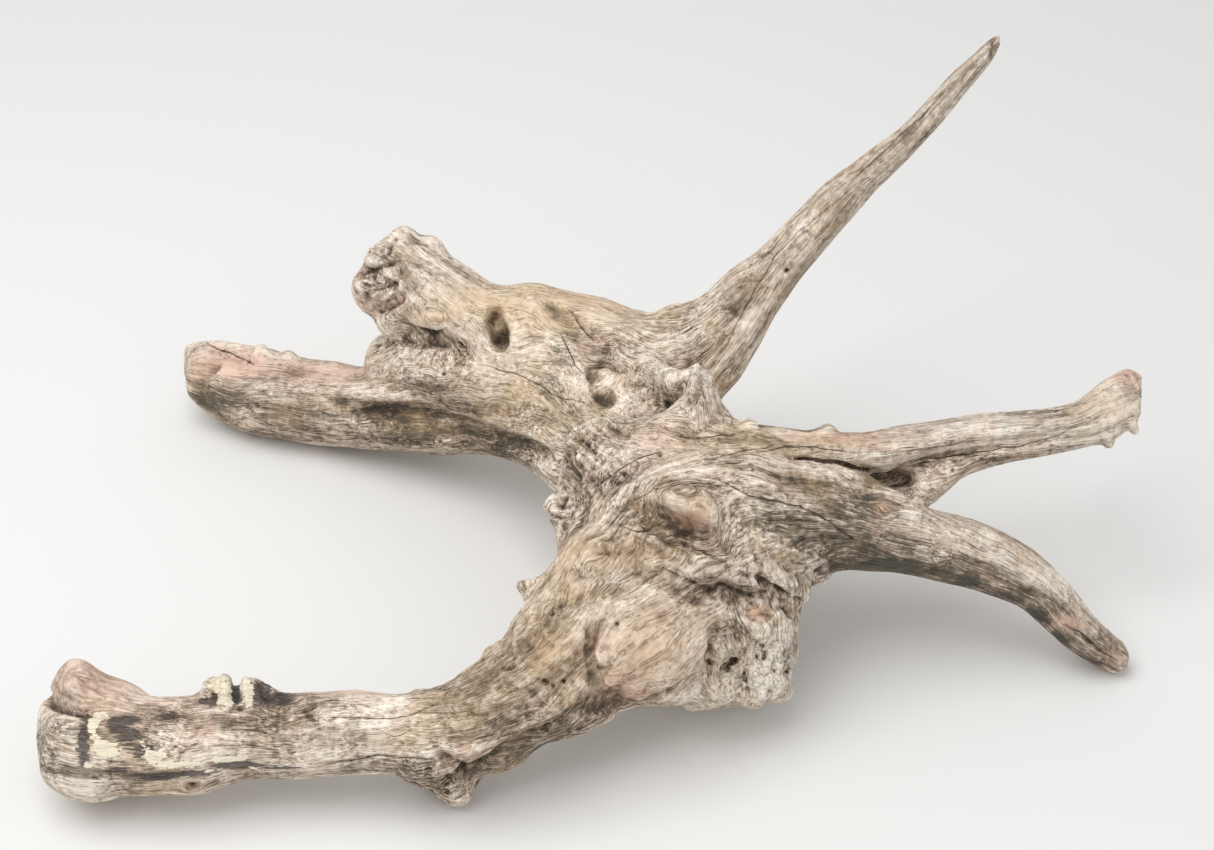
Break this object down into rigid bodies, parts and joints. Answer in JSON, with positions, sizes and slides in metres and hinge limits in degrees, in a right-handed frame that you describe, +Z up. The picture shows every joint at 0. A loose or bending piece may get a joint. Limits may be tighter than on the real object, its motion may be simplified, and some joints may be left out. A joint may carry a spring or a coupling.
{
  "type": "driftwood piece",
  "caption": "Weathered root-crown driftwood: a knotted trunk with two long limbs to the left, two to the right and a tall tapering spike; lies on three worn spots.",
  "frame": {"origin": "on the ground, under the middle of the footprint", "axes": "+Z up; +X along the long way, towards the two right limbs; +Y away from the side the picture shows, so the picture looks along +Y and down"},
  "size_m": [1.0721, 0.6715, 0.5208],
  "materials": {
    "weathered_wood": "dry weathered grain"
  },
  "bodies": {
    "root": {"driftwood": "weathered_wood"}
  },
  "joints": []
}
